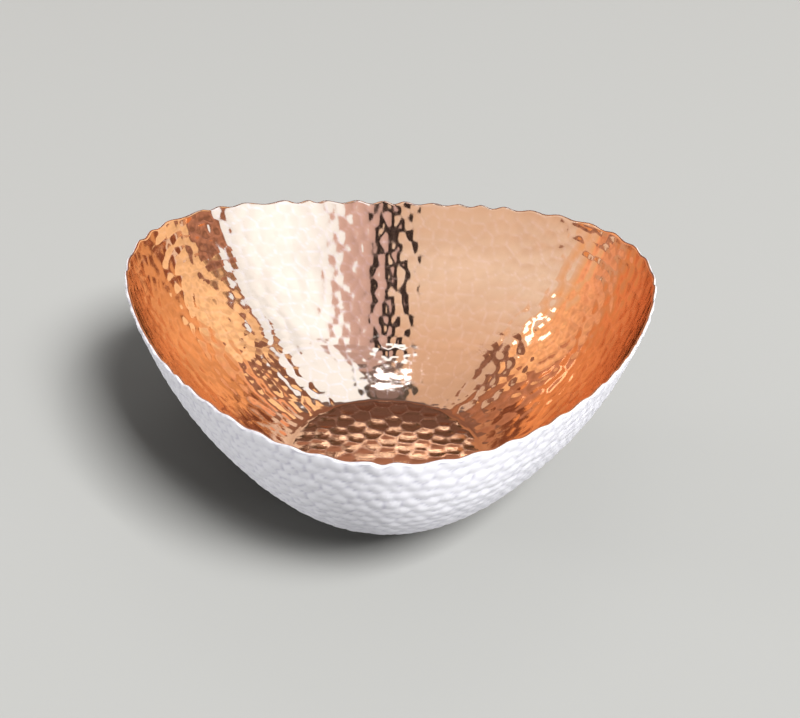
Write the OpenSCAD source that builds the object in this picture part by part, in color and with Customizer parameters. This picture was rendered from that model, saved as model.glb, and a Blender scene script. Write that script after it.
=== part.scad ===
// Hammered bowl with three soft corners: one raised copper sheet, enamelled white outside.
// Millimetres, +Z up. The origin is the middle of the flat underside, on the table.
// One corner points to -Y, the front.

/* [Rim] */
// Mean radius of the rim, at the outside of the copper
rim_r = 120; // [105:1:140]
// How far a corner stands out past the mean radius
corner_reach = 12.3; // [4:0.1:18]
// How far the middle of a side is drawn in from the mean radius
side_draw = 9.8; // [4:0.1:14]
// Mean height of the rim above the table
rim_h = 86.5; // [70:0.5:110]
// How much higher than that a corner stands, and how much lower a side
corner_lift = 1.7; // [0:0.1:5]

/* [Wall and floor] */
// Radius of the round floor, where the wall starts
floor_r = 47; // [40:0.5:55]
// Angle that the wall curves through on its way from the floor to the rim
wall_turn = 54; // [30:1:70]
// How soon on the way up the corners form: 1 is evenly, more is sooner
corner_onset = 2.5; // [1:0.1:4]
// Thickness of the copper sheet
sheet_t = 1.2; // [0.8:0.1:2]
// Thickness of the enamel
enamel_t = 0.4; // [0.3:0.05:0.8]

/* [Hammer marks] */
// Marks in one ring round the wall
marks_round = 48; // [36:1:54]
// Whole rings of marks up the wall, below the half marks that the rim cuts
mark_rings = 11; // [8:1:14]
// Depth of a mark at the rim, where the marks are widest
mark_depth = 0.6; // [0.2:0.1:1.2]
// How far the rim rises and falls from one mark to the next
rim_scallop = 1.5; // [0:0.1:3]
// Distance between the middles of two marks on the floor
floor_mark_pitch = 10.4; // [8:0.1:14]
// Depth of a mark on the floor
floor_mark_depth = 0.5; // [0.2:0.05:0.7]
// Width of the flat land between two marks on the floor
floor_mark_land = 0.4; // [0.2:0.1:1]

/* [Hidden] */

copper_colour = "#c9825c";
enamel_colour = "#ecebf0";
corner_count = 3;
front_corner = -90;
cut_overshoot = 0.2;

// The wall's mean profile, an arc over its chord from the floor's edge to the rim
wall_run = rim_r - floor_r;
wall_rise = rim_h - enamel_t;
start_slope = atan2(wall_rise, wall_run) - wall_turn / 2;
half_turn = wall_turn / 2;

// Share of the chord passed, and sag outside the chord, at a share t of the arc
function chord_share(t) = (sin((2 * t - 1) * half_turn) + sin(half_turn)) / (2 * sin(half_turn));
function chord_sag(t) = (cos((2 * t - 1) * half_turn) - cos(half_turn)) / (2 * sin(half_turn));
function mean_r(t) = floor_r + wall_run * chord_share(t) + wall_rise * chord_sag(t);
function mean_z(t) = enamel_t + wall_rise * chord_share(t) - wall_run * chord_sag(t);

// The plan: a wave that is 1 at a corner and -1 at the middle of a side, and one of twice its count
function corner_wave(angle) = cos(corner_count * (angle - front_corner));
function double_wave(angle) = cos(2 * corner_count * (angle - front_corner));
function plan_reach(angle) =
    (corner_reach + side_draw) / 2 * corner_wave(angle)
    + (corner_reach - side_draw) / 2 * double_wave(angle);

// The outside of the unhammered copper wall, at a plan angle and a share t of the arc
function wall_point(angle, t) =
    let (
        corners_formed = 1 - pow(max(0, 1 - chord_share(t)), corner_onset),
        r = mean_r(t) + plan_reach(angle) * corners_formed,
        z = mean_z(t) + corner_lift * corner_wave(angle) * chord_share(t)
    )
    [r * cos(angle), r * sin(angle), z];

function unit(v) = v / norm(v);

// The wall's normal, away from the inside of the bowl
function wall_normal(angle, t, d_angle = 0.5, d_t = 0.002) =
    unit(cross(
        wall_point(angle + d_angle, t) - wall_point(angle - d_angle, t),
        wall_point(angle, t + d_t) - wall_point(angle, t - d_t)
    ));

// Rings of marks are spaced as the radius grows, so that a mark stays as tall as it is wide:
// a running sum of 1/radius up the arc, with the share of the arc where it is reached
profile_steps = 60;
ring_sums = [
    for (
        step = 0, sum = 0;
        step <= profile_steps;
        sum = sum + 1 / mean_r((step + 0.5) / profile_steps), step = step + 1
    )
    [sum, step / profile_steps]
];
below_first_ring = 2 / 3;
function ring_t(ring) =
    let (share = (ring + below_first_ring) / (mark_rings + below_first_ring))
    share >= 1 ? 1 : lookup(share * ring_sums[profile_steps][0], ring_sums);

// A hammered skin is a honeycomb. Each ring of marks has three rows of points: its lower ridge,
// which is kind 0, the middles of its marks and its upper ridge, which is kind 2. Row 0 is the
// floor's edge, and the last row lies on the rim, which cuts the top ring of marks in half.
MIDDLE = 1;
last_row = 3 * mark_rings + 3;
row_points = marks_round * (last_row + 1);

function row_ring(row) = floor((row + 2) / 3) - 1;
function row_kind(row) = (row + 2) % 3;
function row_height(row) = min(mark_rings, row_ring(row) + (row_kind(row) - 1) / 3);
function row_angle(row, i) =
    let (
        ring_shift = row_ring(row) % 2 == 0 ? 0 : 0.5,
        ridge_shift = row_kind(row) == MIDDLE ? 0 : 0.5
    )
    (i + ring_shift + ridge_shift) * 360 / marks_round;

// The rim stands up over each half mark and dips at the ridges between them
function scallop(row) =
    row_height(row) < mark_rings ? 0 : (row_kind(row) == MIDDLE ? 0.5 : -0.5) * rim_scallop;

// A point of the skin that lies a distance out from the outside of the copper
function floor_edge_point(angle, out) =
    let (r = floor_r + out * tan(start_slope / 2))
    [r * cos(angle), r * sin(angle), enamel_t - out];
function skin_point(row, i, out) =
    let (
        angle = row_angle(row, i),
        t = ring_t(row_height(row)),
        dent = row_kind(row) == MIDDLE ? mark_depth * mean_r(t) / rim_r : 0
    )
    row == 0
        ? floor_edge_point(angle, out)
        : wall_point(angle, t) + (out + dent) * wall_normal(angle, t) + [0, 0, scallop(row)];
function skin_points(out) =
    [for (row = [0 : last_row], i = [0 : marks_round - 1]) skin_point(row, i, out)];

// Numbers of the points of a skin
function point_at(row, i) = row * marks_round + (i + marks_round) % marks_round;
function middle_at(ring, i) = point_at(3 * ring + 2, i);
function lower_ridge_at(ring, i) = point_at(3 * ring + 1, i);
function upper_ridge_at(ring, i) = point_at(3 * ring + 3, i);
// The ridge points straight below and above mark i belong to the rings below and above
function in_line(ring, i) = ring % 2 == 0 ? i - 1 : i;
function below_mark(ring, i) = upper_ridge_at(ring - 1, in_line(ring, i));
function above_mark(ring, i) = lower_ridge_at(ring + 1, in_line(ring, i));

// Triangles from the middle of a mark to the ridges round it
function fan(hub, edge) = [for (n = [0 : len(edge) - 2]) [hub, edge[n], edge[n + 1]]];
function whole_mark(ring, i) =
    fan(middle_at(ring, i), [
        below_mark(ring, i),
        lower_ridge_at(ring, i),
        upper_ridge_at(ring, i),
        above_mark(ring, i),
        upper_ridge_at(ring, i - 1),
        lower_ridge_at(ring, i - 1),
        below_mark(ring, i)
    ]);
function half_mark(i) =
    fan(middle_at(mark_rings, i), [
        upper_ridge_at(mark_rings, i - 1),
        lower_ridge_at(mark_rings, i - 1),
        below_mark(mark_rings, i),
        lower_ridge_at(mark_rings, i),
        upper_ridge_at(mark_rings, i)
    ]);
function floor_edge_gap(i) = [below_mark(0, i), below_mark(0, i + 1), lower_ridge_at(0, i)];

wall_faces = [
    for (i = [0 : marks_round - 1]) floor_edge_gap(i),
    for (ring = [0 : mark_rings - 1], i = [0 : marks_round - 1]) each whole_mark(ring, i),
    for (i = [0 : marks_round - 1]) each half_mark(i)
];
floor_face = [for (i = [0 : marks_round - 1]) point_at(0, i)];

// The rim's edge runs over the half marks and the ridges between them in turn
rim_edge = [for (i = [0 : marks_round - 1]) each [middle_at(mark_rings, i), upper_ridge_at(mark_rings, i)]];
function turned(face) = [for (n = [len(face) - 1 : -1 : 0]) face[n]];
function second_skin(face) = [for (n = face) n + row_points];

// A hammered wall and flat floor between two skins
module hammered_shell(inner_out, outer_out) {
    inside = [for (face = wall_faces) second_skin(face)];
    outside = [for (face = wall_faces) turned(face)];
    rim = [
        for (n = [0 : len(rim_edge) - 1])
        let (
            here = rim_edge[n],
            next = rim_edge[(n + 1) % len(rim_edge)]
        )
        each [
            [here, here + row_points, next + row_points],
            [here, next + row_points, next]
        ]
    ];
    polyhedron(
        points = concat(skin_points(outer_out), skin_points(inner_out)),
        faces = concat(outside, inside, rim, [floor_face, turned(second_skin(floor_face))])
    );
}

// Six-sided marks on the inside of the floor, in straight rows, which the flat stake
// under the floor keeps from showing on its underside
module floor_marks() {
    inner_floor_z = enamel_t + sheet_t;
    inner_floor_r = floor_r - sheet_t * tan(start_slope / 2);
    mark_corner_r = (floor_mark_pitch - floor_mark_land) / sqrt(3);
    cut_growth = (floor_mark_depth + cut_overshoot) / floor_mark_depth;
    rows = ceil(floor_r / floor_mark_pitch) + 1;
    for (row = [-rows : rows], column = [-rows : rows]) {
        x = (column + (row % 2 == 0 ? 0 : 0.5)) * floor_mark_pitch;
        y = row * floor_mark_pitch * sqrt(3) / 2;
        if (norm([x, y]) + mark_corner_r + floor_mark_land < inner_floor_r)
            translate([x, y, inner_floor_z - floor_mark_depth])
                rotate(30)
                    cylinder(
                        h = floor_mark_depth * cut_growth,
                        r1 = 0,
                        r2 = mark_corner_r * cut_growth,
                        $fn = 6
                    );
    }
}

// The bowl itself: one sheet of copper, hammered from inside
module copper_bowl() {
    color(copper_colour)
        difference() {
            hammered_shell(-sheet_t, 0);
            floor_marks();
        }
}

// The enamel fused to its outside, which follows the hammering
module white_enamel() {
    color(enamel_colour)
        hammered_shell(0, enamel_t);
}

copper_bowl();
white_enamel();
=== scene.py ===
"""Looks of the hammered three-cornered bowl: polished copper inside, white enamel outside.

Metres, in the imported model's own frame. Sizes of the bowl are named in millimetres.
Each shell starts as a flat round blank, as the coppersmith's sheet does. The blank is then
raised into the bowl's wall and takes its hammer marks, vertex by vertex.
"""
import math

import bmesh
import bpy
import numpy as np
from mathutils import Matrix, Vector


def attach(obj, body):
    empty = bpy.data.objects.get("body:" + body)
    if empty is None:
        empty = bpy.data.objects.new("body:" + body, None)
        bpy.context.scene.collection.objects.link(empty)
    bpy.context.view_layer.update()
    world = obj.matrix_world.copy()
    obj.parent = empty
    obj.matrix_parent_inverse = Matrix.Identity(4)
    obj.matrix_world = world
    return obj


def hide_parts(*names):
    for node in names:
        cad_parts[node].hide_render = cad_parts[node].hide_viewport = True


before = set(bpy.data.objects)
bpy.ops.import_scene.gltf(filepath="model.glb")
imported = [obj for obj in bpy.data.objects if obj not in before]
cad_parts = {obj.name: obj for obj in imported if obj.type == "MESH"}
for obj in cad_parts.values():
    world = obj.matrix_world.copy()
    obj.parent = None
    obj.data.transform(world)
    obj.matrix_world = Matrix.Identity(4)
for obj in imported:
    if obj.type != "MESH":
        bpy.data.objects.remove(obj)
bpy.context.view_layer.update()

MM = 0.001

# Sizes of the bowl, in millimetres and degrees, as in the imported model
RIM_R = 120.0
CORNER_REACH = 12.3
SIDE_DRAW = 9.8
RIM_H = 86.5
CORNER_LIFT = 1.7
FLOOR_R = 47.0
WALL_TURN = math.radians(54)
CORNER_ONSET = 2.5
SHEET_T = 1.2
ENAMEL_T = 0.4
CORNERS = 3
FRONT = math.radians(-90)
# The floor turns up into the wall over this distance to each side of its edge
CREASE = 1.7

# Hammer marks: distance from one to the next, slope at a mark's edge, how far a mark may lean, by what
# share its depth may differ, and how soft the ridges are
INSIDE_PITCH = 7.8
OUTSIDE_PITCH = 6.4
MARK_SLOPE = math.tan(math.radians(4.0))
MARK_LEAN = 0.018
MARK_SPREAD = 0.3
RIDGE_SOFTNESS = 0.25
# How far a mark may stray from its place, as a share of the pitch
INSIDE_JITTER = 0.28
OUTSIDE_JITTER = 0.10
FLOOR_JITTER = 0.16
# The wall's marks start this far above the floor's edge and reach their full depth over the next stretch
MARKS_START = 0.5 * CREASE
MARKS_FADE = 1.5 * CREASE
# The bowl is hammered from inside. Outside, the marks stand out as bumps, this many times as steep as
# a mark inside was before it was planished.
OUTSIDE_DEPTH = 4.2
# Inside, planishing leaves the marks this share of their depth. They are deeper at the corners and up
# the middle of each side, where these shares come on top.
PLANISHED = 0.5
CORNER_DEPTH = 1.6
SIDE_DEPTH = 0.8
# The deeper marks up a side's middle keep to a narrow band, which starts this far above the floor's edge
# and is at its deepest after the next stretch. The power sets how narrow it is.
SIDE_BAND_START = 22.0
SIDE_BAND_FADE = 8.0
SIDE_BAND_POWER = 24
# Below that start the band is nearly smooth, with marks of this share of the planished depth
LOW_SIDE_DEPTH = 0.3
# No ridge between two marks stands higher than this share of a mark's depth above the unhammered sheet
LAND = 0.5
# This many of the marks round a point shape it
MARKS_THAT_COUNT = 4

# The rim's scallops: how many, how far they rise and fall, by which shares their heights differ, and how
# far the rim leans out over the band that they fade out in
SCALLOPS = 54
RIM_SCALLOP = 1.5
SCALLOP_SHARES = (0.6, 1.2)
RIM_FLARE = 0.6
RIM_BAND = 2 * INSIDE_PITCH

# The floor's marks, whose rows lie turned from the bowl's left and right
FLOOR_MARK_PITCH = 9.6
FLOOR_MARK_SLOPE = math.tan(math.radians(6.5))
FLOOR_ROWS_TURN = math.radians(22)
# The lower this power, the wider the worn top of a ridge on the floor
WORN_POWER = 0.6

# Fineness of the meshes. The underside is smooth, and the faces where the two shells meet are hidden, so
# they have few rows.
SEGMENTS = 576
WALL_ROWS = 104
FLOOR_ROWS = 43
CREASE_ROWS = 9
EDGE_ROWS = 6
UNDERSIDE_ROWS = 8
# Rows of a hidden face's floor, crease and wall
HIDDEN_FACE_ROWS = (3, 3, 8)
# Points of a blank that lie nearer together than this are welded, in millimetres
WELD = 1e-4
# Seed of the strays, depths and leans of the marks
SEED = 7


# The wall's mean profile, an arc over its chord from the floor's edge to the rim

WALL_RUN = RIM_R - FLOOR_R
WALL_RISE = RIM_H - ENAMEL_T
HALF_TURN = WALL_TURN / 2
WALL_LENGTH = math.hypot(WALL_RUN, WALL_RISE) / (2 * math.sin(HALF_TURN)) * WALL_TURN
START_SLOPE = math.tan(math.atan2(WALL_RISE, WALL_RUN) - HALF_TURN)
RIM_M = FLOOR_R + WALL_LENGTH
# The two shells meet at this height above the copper's outside, half way through the rim's edge
MEETING_H = (SHEET_T - ENAMEL_T) / 2


def chord_share(t):
    """Share of the chord passed at a share t of the arc."""
    return (np.sin((2 * t - 1) * HALF_TURN) + math.sin(HALF_TURN)) / (2 * math.sin(HALF_TURN))


def chord_sag(t):
    """Sag outside the chord, in chords, at a share t of the arc."""
    return (np.cos((2 * t - 1) * HALF_TURN) - math.cos(HALF_TURN)) / (2 * math.sin(HALF_TURN))


def mean_radius(t):
    """Mean radius of the wall at a share t of the arc."""
    return FLOOR_R + WALL_RUN * chord_share(t) + WALL_RISE * chord_sag(t)


def sheet_point(angle, along):
    """Outside of the unhammered copper, at a plan angle and a distance along the sheet from its middle."""
    on_wall = along > FLOOR_R
    t = np.where(on_wall, (along - FLOOR_R) / WALL_LENGTH, 0.0)
    share = chord_share(t)
    corner_wave = np.cos(CORNERS * (angle - FRONT))
    double_wave = np.cos(2 * CORNERS * (angle - FRONT))
    reach = (CORNER_REACH + SIDE_DRAW) / 2 * corner_wave + (CORNER_REACH - SIDE_DRAW) / 2 * double_wave
    formed = 1 - np.maximum(0, 1 - share) ** CORNER_ONSET
    radius = np.where(on_wall, mean_radius(t) + reach * formed, along)
    mean_z = ENAMEL_T + WALL_RISE * share - WALL_RUN * chord_sag(t)
    height = np.where(on_wall, mean_z + CORNER_LIFT * corner_wave * share, ENAMEL_T)
    crease_lift = START_SLOPE / (4 * CREASE) * np.maximum(0, CREASE - np.abs(along - FLOOR_R)) ** 2
    return np.stack([radius * np.cos(angle), radius * np.sin(angle), height + crease_lift], axis=-1)


def sheet_normal(angle, along):
    """Unit normal of the sheet, away from the inside of the bowl. It points straight down at the middle
    of the floor, where the way round is too short to measure it by."""
    d_angle, d_along, middle_r, tiny = 0.002, 0.05, 1.0, 1e-12
    round_way = sheet_point(angle + d_angle, along) - sheet_point(angle - d_angle, along)
    up_way = sheet_point(angle, along + d_along) - sheet_point(angle, along - d_along)
    normal = np.cross(round_way, up_way)
    length = np.linalg.norm(normal, axis=-1, keepdims=True)
    at_middle = along[:, None] < middle_r
    return np.where(at_middle, np.array([0.0, 0.0, -1.0]), normal / np.maximum(length, tiny))


# Hammer marks: shallow dishes in rings up the wall, each ring with as many as its length takes at the
# pitch, and in rows on the floor

def wall_marks(random, pitch, jitter):
    """Count, middles, depths and leans of the marks in each ring, from the top down. Ring 0 lies above
    the rim, which cuts into its marks. The rings interlock at the front of the bowl."""
    ring_step = pitch * math.sqrt(3) / 2
    rings = int(WALL_LENGTH / ring_step) + 3
    top_ring = RIM_M - pitch / 2 + ring_step
    ring_along = top_ring - ring_step * np.arange(rings)
    ring_radius = mean_radius(np.clip((ring_along - FLOOR_R) / WALL_LENGTH, 0, 1))
    count = np.round(2 * math.pi * ring_radius / pitch).astype(int)
    shape = (rings, count.max())
    start = 0.5 * (np.arange(rings) % 2)[:, None] + FRONT * count[:, None] / (2 * math.pi)
    number = np.arange(shape[1])[None, :] + start + random.uniform(-1, 1, shape) * jitter
    return {
        "pitch": pitch,
        "ring_step": ring_step,
        "top_ring": top_ring,
        "count": count,
        "start": start,
        "angle": number * 2 * math.pi / count[:, None],
        "along": ring_along[:, None] + random.uniform(-1, 1, shape) * jitter * pitch,
        "depth": 1 + random.uniform(-1, 1, shape) * MARK_SPREAD,
        "lean_round": random.uniform(-1, 1, shape) * MARK_LEAN,
        "lean_up": random.uniform(-1, 1, shape) * MARK_LEAN,
    }


def soft_max(values, softness):
    """Largest value at each point, rounded over where two come close."""
    top = np.max(values, axis=0)
    return top + softness * np.log(np.sum(np.exp((values - top) / softness), axis=0))


def dished(dishes, pitch, slope):
    """Relief of dishes that meet in soft ridges, and how near each point is to a ridge, from 0 to 1.
    Flat land caps the ridges where dishes lie far apart."""
    softness = RIDGE_SOFTNESS * slope * pitch / INSIDE_PITCH
    deepest = np.sort(dishes, axis=0)[-MARKS_THAT_COUNT:]
    land = np.full_like(deepest[:1], -LAND * slope * pitch / 4)
    ridge = np.exp(-(deepest[-1] - deepest[-2]) / (2 * softness))
    return soft_max(np.concatenate([deepest, land]), softness), ridge


def wall_relief(marks, angle, along):
    """How far the marks push the wall outwards, and how near each point is to a ridge."""
    spot = sheet_point(angle, along)
    radius = np.hypot(spot[:, 0], spot[:, 1])
    pitch = marks["pitch"]
    curve = MARK_SLOPE / pitch
    deepest = curve * (pitch / 2) ** 2
    last_ring = len(marks["count"]) - 1
    near_ring = np.round((marks["top_ring"] - along) / marks["ring_step"]).astype(int)
    near_ring = np.clip(near_ring, 1, last_ring - 1)
    dishes = []
    for ring_step in (-1, 0, 1):
        ring = near_ring + ring_step
        count = marks["count"][ring]
        near_mark = np.round(angle * count / (2 * math.pi) - marks["start"][ring, 0]).astype(int)
        for mark_step in (-1, 0, 1):
            mark = (near_mark + mark_step) % count
            turn = (angle - marks["angle"][ring, mark] + math.pi) % (2 * math.pi) - math.pi
            round_way = turn * radius
            up_way = along - marks["along"][ring, mark]
            dishes.append(deepest * marks["depth"][ring, mark]
                          - curve * (round_way ** 2 + up_way ** 2)
                          + marks["lean_round"][ring, mark] * round_way
                          + marks["lean_up"][ring, mark] * up_way)
    relief, ridge = dished(np.array(dishes), pitch, MARK_SLOPE)
    fade = np.clip((along - FLOOR_R - MARKS_START) / MARKS_FADE, 0, 1)
    fade = fade * fade * (3 - 2 * fade)
    return relief * fade, ridge * fade


def floor_marks(random):
    """Middles and depths of the floor's marks, in rough rows."""
    rows = int(FLOOR_R / FLOOR_MARK_PITCH) + 3
    row, column = np.mgrid[-rows:rows + 1, -rows:rows + 1]
    across = (column + 0.5 * (row % 2)) * FLOOR_MARK_PITCH
    along = row * FLOOR_MARK_PITCH * math.sqrt(3) / 2
    turned_x = across * math.cos(FLOOR_ROWS_TURN) - along * math.sin(FLOOR_ROWS_TURN)
    turned_y = across * math.sin(FLOOR_ROWS_TURN) + along * math.cos(FLOOR_ROWS_TURN)
    middles = np.stack([turned_x.ravel(), turned_y.ravel()], axis=-1)
    middles = middles + random.uniform(-1, 1, middles.shape) * FLOOR_JITTER * FLOOR_MARK_PITCH
    depths = 1 + random.uniform(-1, 1, len(middles)) * MARK_SPREAD
    return middles, depths


def floor_relief(marks, angle, along):
    """How far the floor's marks push its inside down, and how near each point is to a ridge."""
    middles, depths = marks
    curve = FLOOR_MARK_SLOPE / FLOOR_MARK_PITCH
    deepest = curve * (FLOOR_MARK_PITCH / 2) ** 2
    spot = np.stack([along * np.cos(angle), along * np.sin(angle)], axis=-1)
    away = ((spot[None] - middles[:, None]) ** 2).sum(axis=-1)
    relief, ridge = dished(deepest * depths[:, None] - curve * away, FLOOR_MARK_PITCH, FLOOR_MARK_SLOPE)
    fade = np.clip((FLOOR_R - along) / (2 * CREASE), 0, 1)
    return relief * fade, ridge * fade


def rim_scallops(random):
    """Plan angles and heights of the rim's scallops, with the last one again before the first, and
    the first again after the last."""
    stray = random.uniform(-1, 1, SCALLOPS) * INSIDE_JITTER
    angle = (np.arange(SCALLOPS) + stray) * 2 * math.pi / SCALLOPS
    height = RIM_SCALLOP / 2 * random.uniform(*SCALLOP_SHARES, SCALLOPS)
    around = np.concatenate([angle[-1:] - 2 * math.pi, angle, angle[:1] + 2 * math.pi])
    return around, np.concatenate([height[-1:], height, height[:1]])


def scallop_height(scallops, angle):
    """How far the rim stands above its mean height: up at a scallop, down between two."""
    middles, heights = scallops
    turn = angle % (2 * math.pi)
    number = np.interp(turn, middles, np.arange(len(middles)))
    return np.interp(turn, middles, heights) * np.cos(2 * math.pi * number)


# Flat blanks, drawn as half a cross-section: distance from the middle, height above the copper's outside

def sheet_stations(floor_rows, crease_rows, wall_rows):
    """Distances from the middle of the floor to just below the rim's edge."""
    return np.concatenate([
        np.linspace(0, FLOOR_R - CREASE, floor_rows)[:-1],
        np.linspace(FLOOR_R - CREASE, FLOOR_R + CREASE, crease_rows)[:-1],
        np.linspace(FLOOR_R + CREASE, RIM_M - SHEET_T, wall_rows),
    ])


def edge_points(start, end):
    """Points round the rim's edge, from -90 degrees on its inside over its crown to 90 outside."""
    radius = (SHEET_T + ENAMEL_T) / 2
    turn = np.radians(np.linspace(start, end, EDGE_ROWS))
    along = RIM_M - radius + radius * np.cos(turn)
    height = SHEET_T - radius - radius * np.sin(turn)
    return list(zip(along, height))


def blank_profile(face_height, floor_rows, edge_start):
    """Half cross-section of a shell: its shown face, its half of the rim's edge, and its hidden face."""
    shown = [(along, face_height) for along in sheet_stations(floor_rows, CREASE_ROWS, WALL_ROWS)]
    hidden = [(along, MEETING_H) for along in sheet_stations(*HIDDEN_FACE_ROWS)]
    return np.array(shown + edge_points(edge_start, 0) + hidden[::-1])


def round_blank(name, profile):
    """Mesh of a round blank with that half cross-section: a grid bent round its middle and welded."""
    shape = bmesh.new()
    bmesh.ops.create_grid(shape, x_segments=SEGMENTS, y_segments=len(profile) - 1, size=0.5)
    for vert in shape.verts:
        angle = 2 * math.pi * (vert.co.x + 0.5)
        along, height = profile[round((vert.co.y + 0.5) * (len(profile) - 1))]
        vert.co = (along * math.cos(angle), along * math.sin(angle), height)
    bmesh.ops.remove_doubles(shape, verts=shape.verts, dist=WELD)
    bmesh.ops.recalc_face_normals(shape, faces=shape.faces)
    mesh = bpy.data.meshes.new(name)
    shape.to_mesh(mesh)
    shape.free()
    return mesh


def inside_depth(angle, along):
    """Depth of the marks inside the bowl, as a share of an unplanished mark's, at each point."""
    corner_wave = np.cos(CORNERS * (angle - FRONT))
    side_middle = ((1 - corner_wave) / 2) ** SIDE_BAND_POWER
    high = np.clip((along - FLOOR_R - SIDE_BAND_START) / SIDE_BAND_FADE, 0, 1)
    smoothed = 1 - (1 - LOW_SIDE_DEPTH) * side_middle * (1 - high)
    deeper = SIDE_DEPTH * side_middle * high + CORNER_DEPTH * np.maximum(0, corner_wave)
    return PLANISHED * smoothed + deeper


def outside_depth(angle, along):
    """Height of the bumps outside the bowl, in the same way: alike at every point."""
    return np.full_like(angle, OUTSIDE_DEPTH)


def raised_shell(name, profile, marks, scallops, depth, marks_on_floor):
    """A blank raised into the bowl's wall and hammered. Its marks fade out towards its hidden face."""
    mesh = round_blank(name, profile)
    flat = np.empty(3 * len(mesh.vertices))
    mesh.vertices.foreach_get("co", flat)
    flat = flat.reshape(-1, 3)
    angle = np.arctan2(flat[:, 1], flat[:, 0])
    along = np.hypot(flat[:, 0], flat[:, 1])
    above = flat[:, 2]

    relief, ridge = wall_relief(marks, angle, along)
    relief = relief * depth(angle, along)
    if marks_on_floor is not None:
        on_floor = along < FLOOR_R
        relief[on_floor], ridge[on_floor] = floor_relief(marks_on_floor, angle[on_floor], along[on_floor])
    shown = np.clip((above - MEETING_H) / (profile[0, 1] - MEETING_H), 0, 1)
    near_rim = np.clip(1 - (RIM_M - along) / RIM_BAND, 0, 1) ** 2
    raised = along + scallop_height(scallops, angle) * near_rim
    out = relief * shown + RIM_FLARE * near_rim - above
    points = sheet_point(angle, raised) + out[:, None] * sheet_normal(angle, raised)

    mesh.vertices.foreach_set("co", (points * MM).ravel())
    # How near each point is to a ridge. It places the copper's painted highlight, the enamel's painted
    # shade and the copper's rougher ridges.
    mesh.attributes.new("ridge", "FLOAT", "POINT").data.foreach_set("value", ridge)
    worn = np.where(along < FLOOR_R, ridge ** WORN_POWER, 0.0)
    mesh.attributes.new("worn", "FLOAT", "POINT").data.foreach_set("value", worn)
    # Where the crease round the floor lies, which places the copper's painted shade
    crease = np.exp(-((along - FLOOR_R) / CREASE) ** 2)
    mesh.attributes.new("crease", "FLOAT", "POINT").data.foreach_set("value", crease)
    mesh.shade_smooth()
    mesh.update()
    shell = bpy.data.objects.new(name, mesh)
    bpy.context.scene.collection.objects.link(shell)
    return shell


# Materials

def linear(hex_colour):
    """Linear colour of an sRGB hex value."""
    parts = [int(hex_colour[n:n + 2], 16) / 255 for n in (1, 3, 5)]
    return tuple(p / 12.92 if p <= 0.04045 else ((p + 0.055) / 1.055) ** 2.4 for p in parts) + (1.0,)


def per_metre(size_mm):
    """Texture scale of a pattern that repeats about every so many millimetres."""
    return 1 / (size_mm * MM)


def add_node(tree, kind, settings=None, links=None):
    """Adds a node, with values for its inputs or properties and links into its inputs."""
    node = tree.nodes.new(kind)
    for key, value in (settings or {}).items():
        if isinstance(key, int) or key in node.inputs:
            node.inputs[key].default_value = value
        else:
            setattr(node, key, value)
    for key, socket in (links or {}).items():
        tree.links.new(socket, node.inputs[key])
    return node


def new_material(name):
    """A material with an empty node tree, its shader, and the piece's own coordinates."""
    material = bpy.data.materials.new(name)
    material.use_nodes = True
    tree = material.node_tree
    tree.nodes.clear()
    shader = add_node(tree, "ShaderNodeBsdfPrincipled")
    add_node(tree, "ShaderNodeOutputMaterial", links={"Surface": shader.outputs["BSDF"]})
    place = add_node(tree, "ShaderNodeTexCoord").outputs["Object"]
    return material, tree, shader, place


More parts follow.
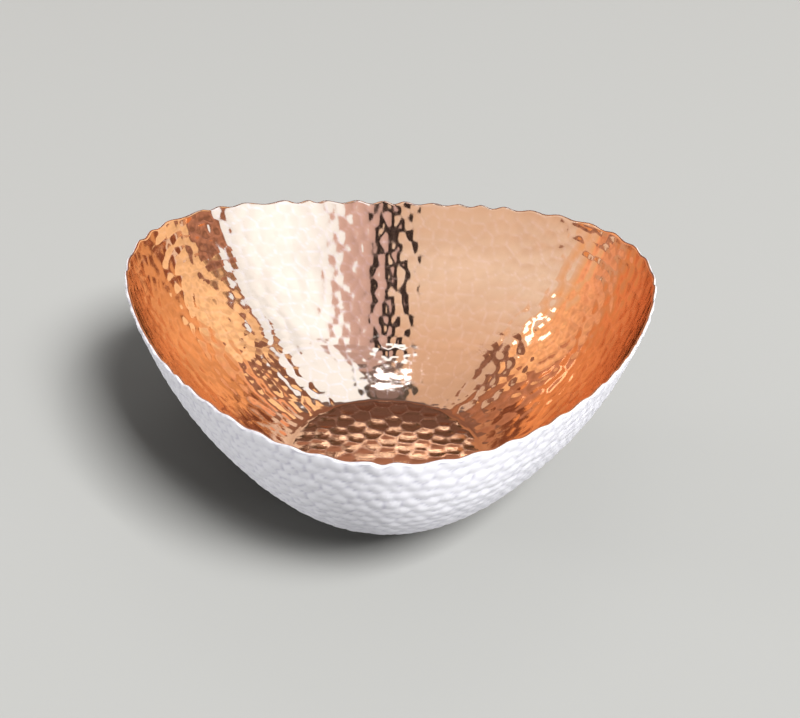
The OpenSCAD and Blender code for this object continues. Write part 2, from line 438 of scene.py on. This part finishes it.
def polished_copper():
    """Raised copper, planished and polished: a warm mirror with a painted highlight, a paler colour, on
    the ridges between marks, duller where those of the floor are worn, and painted shade, a little brown,
    in the crease round the floor."""
    material, tree, shader, place = new_material("polished_copper")
    shader.inputs["Metallic"].default_value = 1.0
    ridge = add_node(tree, "ShaderNodeAttribute", {"attribute_name": "ridge"}).outputs["Fac"]
    crease = add_node(tree, "ShaderNodeAttribute", {"attribute_name": "crease"}).outputs["Fac"]
    clouds = add_node(tree, "ShaderNodeTexNoise",
                      {"Scale": per_metre(35), "Detail": 3.0}, {"Vector": place}).outputs["Fac"]
    tone = add_node(tree, "ShaderNodeMix",
                    {"data_type": "RGBA", 6: linear("#e3b99a"), 7: linear("#e6bd9d")}, {0: clouds})
    # Painted highlight: the ridges between marks get a paler colour
    ridge_highlight_share = add_node(tree, "ShaderNodeMath", {"operation": "MULTIPLY", 1: 0.7}, {0: ridge})
    ridge_highlight = add_node(tree, "ShaderNodeMix", {"data_type": "RGBA", 7: linear("#efcab7")},
                      {0: ridge_highlight_share.outputs[0], 6: tone.outputs[2]})
    # Painted shade: a little brown in the crease round the floor
    crease_shade_share = add_node(tree, "ShaderNodeMath", {"operation": "MULTIPLY", 1: 0.2}, {0: crease})
    colour = add_node(tree, "ShaderNodeMix", {"data_type": "RGBA", 7: linear("#8a4a30")},
                      {0: crease_shade_share.outputs[0], 6: ridge_highlight.outputs[2]})
    tree.links.new(colour.outputs[2], shader.inputs["Base Color"])
    haze = add_node(tree, "ShaderNodeTexNoise",
                    {"Scale": per_metre(6), "Detail": 4.0}, {"Vector": place}).outputs["Fac"]
    polish = add_node(tree, "ShaderNodeMapRange", {"To Min": 0.03, "To Max": 0.10}, {"Value": haze})
    scuffed = add_node(tree, "ShaderNodeMath", {"operation": "MULTIPLY_ADD", 1: 0.07},
                       {0: ridge, 2: polish.outputs["Result"]})
    worn = add_node(tree, "ShaderNodeAttribute", {"attribute_name": "worn"}).outputs["Fac"]
    roughness = add_node(tree, "ShaderNodeMath", {"operation": "MULTIPLY_ADD", 1: 0.16},
                         {0: worn, 2: scuffed.outputs[0]})
    tree.links.new(roughness.outputs[0], shader.inputs["Roughness"])
    planishing = add_node(tree, "ShaderNodeTexNoise",
                          {"Scale": per_metre(4), "Detail": 1.0}, {"Vector": place}).outputs["Fac"]
    bump = add_node(tree, "ShaderNodeBump", {"Strength": 0.25, "Distance": 0.12 * MM},
                    {"Height": planishing})
    tree.links.new(bump.outputs["Normal"], shader.inputs["Normal"])
    return material


def white_enamel():
    """Fired white enamel over hammered metal: a cool white with a satin gloss, a faint orange peel,
    and painted shade, a grey tinge, in the grooves between the bumps."""
    material, tree, shader, place = new_material("white_enamel")
    shader.inputs["IOR"].default_value = 1.5
    ridge = add_node(tree, "ShaderNodeAttribute", {"attribute_name": "ridge"}).outputs["Fac"]
    mottle = add_node(tree, "ShaderNodeTexNoise",
                      {"Scale": per_metre(18), "Detail": 3.0}, {"Vector": place}).outputs["Fac"]
    tone = add_node(tree, "ShaderNodeMix",
                    {"data_type": "RGBA", 6: linear("#e9e8ee"), 7: linear("#f0eff3")}, {0: mottle})
    # Painted shade: a grey tinge in the grooves between the bumps
    groove_shade_share = add_node(tree, "ShaderNodeMath", {"operation": "MULTIPLY", 1: 0.75}, {0: ridge})
    colour = add_node(tree, "ShaderNodeMix", {"data_type": "RGBA", 7: linear("#bcb9c9")},
                      {0: groove_shade_share.outputs[0], 6: tone.outputs[2]})
    tree.links.new(colour.outputs[2], shader.inputs["Base Color"])
    haze = add_node(tree, "ShaderNodeTexNoise",
                    {"Scale": per_metre(5), "Detail": 2.0}, {"Vector": place}).outputs["Fac"]
    roughness = add_node(tree, "ShaderNodeMapRange", {"To Min": 0.28, "To Max": 0.42}, {"Value": haze})
    tree.links.new(roughness.outputs["Result"], shader.inputs["Roughness"])
    peel = add_node(tree, "ShaderNodeTexNoise",
                    {"Scale": per_metre(1.6), "Detail": 1.0}, {"Vector": place}).outputs["Fac"]
    bump = add_node(tree, "ShaderNodeBump", {"Strength": 0.2, "Distance": 0.05 * MM}, {"Height": peel})
    tree.links.new(bump.outputs["Normal"], shader.inputs["Normal"])
    return material


def matt_paper():
    """Uncoated pale grey paper for the floor and backdrop: even, with no shine."""
    material, _, shader, _ = new_material("matt_paper")
    shader.inputs["Base Color"].default_value = linear("#bcbcb9")
    shader.inputs["Roughness"].default_value = 0.9
    shader.inputs["Specular IOR Level"].default_value = 0.2
    return material


# The bowl

random = np.random.default_rng(SEED)
marks_inside = wall_marks(random, INSIDE_PITCH, INSIDE_JITTER)
marks_outside = wall_marks(random, OUTSIDE_PITCH, OUTSIDE_JITTER)
marks_on_floor = floor_marks(random)
scallops = rim_scallops(random)

copper_bowl = raised_shell("copper_bowl_hammered", blank_profile(SHEET_T, FLOOR_ROWS, -90),
                           marks_inside, scallops, inside_depth, marks_on_floor)
copper_bowl.data.materials.append(polished_copper())
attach(copper_bowl, "root")
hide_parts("copper_bowl")

enamel = raised_shell("white_enamel_coat", blank_profile(-ENAMEL_T, UNDERSIDE_ROWS, 90),
                      marks_outside, scallops, outside_depth, None)
enamel.data.materials.append(white_enamel())
# The table takes no light back from the enamel, which would fill its shadow
enamel.visible_diffuse = False
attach(enamel, "root")
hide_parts("white_enamel")


# Floor and backdrop, in one sweep of paper

def paper_sweep():
    """Paper that runs back along the floor, a hair below the bowl, and curves up into the backdrop. It
    shows the lamps' light and the bowl's shadow. It neither lights the bowl nor shows in it, and lets
    the light of the lamp under it through."""
    width, front, back, height, cove, cove_steps = 8.0, -3.0, 2.2, 4.0, 0.8, 24
    hair = 0.05 * MM
    shape = bmesh.new()
    start = shape.verts.new((-width / 2, front, 0))
    turn = shape.verts.new((-width / 2, back - cove, 0))
    shape.edges.new((start, turn))
    made = bmesh.ops.spin(shape, geom=[turn], cent=(-width / 2, back - cove, cove), axis=(1, 0, 0),
                          dvec=(0, 0, 0), angle=math.pi / 2, steps=cove_steps,
                          use_merge=False, use_duplicate=False)
    top = [v for v in made["geom_last"] if isinstance(v, bmesh.types.BMVert)][0]
    last = shape.verts.new((-width / 2, back, height))
    shape.edges.new((top, last))
    drawn = bmesh.ops.extrude_edge_only(shape, edges=shape.edges[:])
    moved = [v for v in drawn["geom"] if isinstance(v, bmesh.types.BMVert)]
    bmesh.ops.translate(shape, verts=moved, vec=(width, 0, 0))
    bmesh.ops.recalc_face_normals(shape, faces=shape.faces)
    mesh = bpy.data.meshes.new("paper_sweep")
    shape.to_mesh(mesh)
    shape.free()
    mesh.shade_smooth()
    sweep = bpy.data.objects.new("paper_sweep", mesh)
    sweep.location.z = -hair
    sweep.visible_diffuse = False
    sweep.visible_glossy = False
    sweep.visible_shadow = False
    bpy.context.scene.collection.objects.link(sweep)
    mesh.materials.append(matt_paper())
    return sweep


paper_sweep()


# Camera, at the photograph's angle

IMAGE_W, IMAGE_H = 800, 718
TARGET = Vector((0, 0, 48 * MM))
TARGET_PIXEL = (388.1, 370.3)
CAMERA_ELEVATION = math.radians(31.11)
CAMERA_DISTANCE = 0.6
CAMERA_ROLL = math.radians(1.67)
FOCAL_PIXELS = 1281
SENSOR_MM = 36


def towards(azimuth, elevation):
    """Direction from the bowl, azimuth 0 being the camera's side and 90 the right, in degrees."""
    a, e = math.radians(azimuth), math.radians(elevation)
    return Vector((math.sin(a) * math.cos(e), -math.cos(a) * math.cos(e), math.sin(e)))


def overhead(sideways, roll):
    """Direction from the bowl on a strip that runs overhead, from front to back, in degrees."""
    s, r = math.radians(sideways), math.radians(roll)
    return Vector((math.sin(s), -math.cos(s) * math.cos(r), math.cos(s) * math.sin(r)))


camera_data = bpy.data.cameras.new("camera")
camera_data.sensor_width = SENSOR_MM
camera_data.lens = FOCAL_PIXELS / IMAGE_W * SENSOR_MM
camera_data.shift_x = (IMAGE_W / 2 - TARGET_PIXEL[0]) / IMAGE_W
camera_data.shift_y = (TARGET_PIXEL[1] - IMAGE_H / 2) / IMAGE_W
camera = bpy.data.objects.new("camera", camera_data)
bpy.context.scene.collection.objects.link(camera)
back = towards(0, math.degrees(CAMERA_ELEVATION))
aim = (-back).to_track_quat("-Z", "Y").to_matrix().to_4x4()
camera.matrix_world = (Matrix.Translation(TARGET + CAMERA_DISTANCE * back) @ aim
                       @ Matrix.Rotation(CAMERA_ROLL, 4, "Z"))
bpy.context.scene.camera = camera


# Studio lights

def softbox(name, azimuth, elevation, distance, size, radiance):
    """A soft lamp aimed at the bowl. It lights the enamel and the floor; the copper shows the cards."""
    light = bpy.data.lights.new(name, "AREA")
    light.shape = "RECTANGLE"
    light.size, light.size_y = size
    light.energy = math.pi * radiance * size[0] * size[1]
    lamp = bpy.data.objects.new(name, light)
    aim = (-towards(azimuth, elevation)).to_track_quat("-Z", "Y").to_matrix().to_4x4()
    lamp.matrix_world = Matrix.Translation(distance * towards(azimuth, elevation) + TARGET) @ aim
    lamp.visible_camera = False
    lamp.visible_glossy = False
    bpy.context.scene.collection.objects.link(lamp)


# All cards are brightened by this, which makes up for the deep tone of the copper
CARD_GAIN = 1.136
# Distances of the cards from the bowl, in metres: most of them, those in front of others, and those behind
CARD_AT = 2.6
NEARER = 2.55
NEAREST = 2.5
BEHIND = 2.7
# Grey of the dim light from all round
WORLD_GREY = 0.13


def glow(name, start, end, unevenness):
    """Lit cloth, from one colour and brightness at a card's start to another at its end. Its folds make
    it uneven, in patches of about half a metre."""
    material = bpy.data.materials.new(name)
    material.use_nodes = True
    tree = material.node_tree
    tree.nodes.clear()
    share = add_node(tree, "ShaderNodeAttribute", {"attribute_name": "share"}).outputs["Fac"]
    ends = []
    for colour, radiance in (start, end):
        ends.append(tuple(CARD_GAIN * radiance * part for part in linear(colour)[:3]) + (1.0,))
    mixed = add_node(tree, "ShaderNodeMix", {"data_type": "RGBA", 6: ends[0], 7: ends[1]}, {0: share})
    place = add_node(tree, "ShaderNodeTexCoord").outputs["Object"]
    folds = add_node(tree, "ShaderNodeTexNoise",
                     {"Scale": per_metre(450), "Detail": 1.0}, {"Vector": place}).outputs["Fac"]
    strength = add_node(tree, "ShaderNodeMapRange",
                        {"From Min": 0.3, "From Max": 0.7,
                         "To Min": 1 - unevenness, "To Max": 1 + unevenness}, {"Value": folds})
    emission = add_node(tree, "ShaderNodeEmission",
                        links={"Color": mixed.outputs[2], "Strength": strength.outputs["Result"]})
    add_node(tree, "ShaderNodeOutputMaterial", links={"Surface": emission.outputs[0]})
    return material


def card(name, azimuths, elevations, unevenness, start, end=None, upward=False, distance=CARD_AT,
         place=towards):
    """A lit card for the copper to reflect, bent round the bowl or, as a strip, over it. It shades from
    its start to its end sideways, or upwards."""
    columns, rows = 24, 12
    shape = bmesh.new()
    bmesh.ops.create_grid(shape, x_segments=columns, y_segments=rows, size=0.5)
    mesh = bpy.data.meshes.new(name)
    share = []
    for vert in shape.verts:
        along, up = vert.co.x + 0.5, vert.co.y + 0.5
        share.append(up if upward else along)
        azimuth = azimuths[0] + along * (azimuths[1] - azimuths[0])
        elevation = elevations[0] + up * (elevations[1] - elevations[0])
        vert.co = TARGET + distance * place(azimuth, elevation)
    shape.to_mesh(mesh)
    shape.free()
    mesh.attributes.new("share", "FLOAT", "POINT").data.foreach_set("value", share)
    mesh.materials.append(glow(name, start, end or start, unevenness))
    sheet = bpy.data.objects.new(name, mesh)
    sheet.visible_camera = False
    sheet.visible_diffuse = False
    sheet.visible_shadow = False
    bpy.context.scene.collection.objects.link(sheet)


# A key from the front right, low fills that rake the enamel's bumps from both sides, a lamp under the
# floor in place of the light that a table throws back, and a faint fill from behind
softbox("key", 37, 48.5, 16.0, (6.0, 6.0), 33.0)
softbox("right_fill", 78, 2, 5.0, (1.6, 0.2), 105.0)
softbox("left_fill", -100, 2, 5.0, (1.6, 0.2), 170.0)
softbox("table_glow", 0, -42, 5.0, (1.6, 1.0), 21.0)
softbox("back_fill", 170, 60, 5.0, (2.0, 2.0), 0.5)

# Colours of the cloth on the cards, and how uneven its folds make it
WHITE, SKY, MAUVE, CREAM = "#ffffff", "#c5e2ff", "#fbecf8", "#ffecde"
GOLD, ORANGE, BROWN, RUST = "#ffe4be", "#ffd3a6", "#ffbc9a", "#ffc6b0"
SMOOTH, FOLDED, CRUMPLED = 0.04, 0.18, 0.5

# The middle of the bowl's back reflects a dark slit and a mauve band, which run overhead from the front
card("slit", (-3.0, 2.7), (6, 66), SMOOTH, (MAUVE, 0.045), distance=NEARER, place=overhead)
card("gap", (2.7, 11), (6, 66), SMOOTH, (MAUVE, 0.66), (MAUVE, 0.8), distance=NEARER, place=overhead)
card("gap_foot", (-3.0, 9), (0, 6), SMOOTH, (BROWN, 0.2), (BROWN, 0.4), distance=NEARER, place=overhead)

# The left of the bowl reflects the right of the studio: a window, then rust and gold
card("window", (8, 22), (0, 64), SMOOTH, (SKY, 1.7), (SKY, 2.2))
card("window_middle", (22, 36), (0, 64), SMOOTH, (SKY, 2.3), (SKY, 2.1))
card("window_end", (36, 54), (0, 64), SMOOTH, (SKY, 2.1), (SKY, 1.8))
card("window_side_low", (54, 59), (22, 36), SMOOTH, (SKY, 1.8))
card("window_side", (54, 64), (36, 54), SMOOTH, (SKY, 1.8))
card("window_corner", (54, 73), (54, 64), SMOOTH, (SKY, 1.8))
card("rust_low", (54, 82), (0, 22), CRUMPLED, (RUST, 0.4), (RUST, 0.55))
card("rust_middle", (59, 76), (22, 36), CRUMPLED, (RUST, 0.4), (GOLD, 0.7))
card("rust_high", (64, 72), (36, 54), FOLDED, (RUST, 0.4))
card("gold_low", (82, 150), (0, 22), FOLDED, (GOLD, 1.05), (GOLD, 1.2))
card("gold_middle", (76, 118), (22, 36), FOLDED, (GOLD, 1.15))
card("gold_high", (72, 118), (36, 54), FOLDED, (GOLD, 1.1))
card("gold_end", (118, 152), (22, 44), FOLDED, (ORANGE, 1.0), (BROWN, 0.9))
card("rust_end", (118, 152), (44, 54), FOLDED, (RUST, 0.4))
card("gold_arc", (73, 95), (54, 64), FOLDED, (RUST, 0.4), (GOLD, 0.9))
card("rust_arc", (95, 152), (54, 64), FOLDED, (RUST, 0.28))
card("window_roof", (36, 140), (64, 80), SMOOTH, (SKY, 2.0))
card("gap_roof", (6, 36), (64, 74), SMOOTH, (MAUVE, 0.62))

# Its right reflects the left: a pale wall, then a lamp, orange and brown
card("wall_low", (-1, -62), (0, 30), SMOOTH, (CREAM, 0.76), (WHITE, 0.93), upward=True)
card("wall_high", (-1, -62), (30, 64.5), SMOOTH, (WHITE, 0.93), (CREAM, 0.82), upward=True)
card("wall_end", (-62, -86), (0, 57), SMOOTH, (CREAM, 0.86), (ORANGE, 0.92))
card("wall_foot", (-48, -92), (0, 6), CRUMPLED, (RUST, 0.5), (RUST, 0.4), distance=NEARER)
card("lamp", (-70, -83), (41, 51), SMOOTH, (WHITE, 2.8), distance=NEAREST)
card("orange", (-86, -125), (0, 57), FOLDED, (BROWN, 0.8), (ORANGE, 1.1), upward=True)
card("brown", (-125, -152), (0, 57), FOLDED, (BROWN, 0.75), (BROWN, 0.45), upward=True)
card("brown_arc", (-52, -152), (57, 64.5), FOLDED, (RUST, 0.3))
card("wall_roof", (-14, -140), (64.5, 80), SMOOTH, (CREAM, 0.8), (CREAM, 0.7))

# Overhead strips in front of a dim ceiling, which the floor of the bowl shows too. Behind the bowl, a dim
# wall with a brighter patch, and to its sides two patches that the foot of the bowl's wall shows.
card("strip_front", (-7, 4.5), (66.5, 71), SMOOTH, (SKY, 2.6), distance=NEARER, place=overhead)
card("strip_middle", (-7, 4.5), (77.5, 80.5), SMOOTH, (SKY, 6.0), distance=NEARER, place=overhead)
card("strip_back", (-7, 4.5), (83.5, 86), SMOOTH, (SKY, 5.0), distance=NEARER, place=overhead)
card("ceiling", (-60, 60), (64.5, 84), SMOOTH, (MAUVE, 0.22), distance=BEHIND)
card("ceiling_middle", (0, 360), (84, 90), SMOOTH, (MAUVE, 0.3), distance=BEHIND)
card("back_wall", (152, 208), (0, 60), FOLDED, (RUST, 0.3))
card("back_lamp", (169, 191), (22, 44), FOLDED, (RUST, 0.4), distance=NEAREST)
card("ring_left", (132, 152), (50, 60), SMOOTH, (GOLD, 1.2), distance=NEARER)
card("ring_right", (-126, -152), (58, 66), SMOOTH, (CREAM, 0.75), distance=NEARER)
card("ceiling_back", (140, 220), (60, 80), SMOOTH, (MAUVE, 0.22))

world = bpy.data.worlds.new("studio")
world.use_nodes = True
world.node_tree.nodes["Background"].inputs["Color"].default_value = (WORLD_GREY,) * 3 + (1.0,)
bpy.context.scene.world = world

bpy.context.scene.view_settings.view_transform = "Standard"
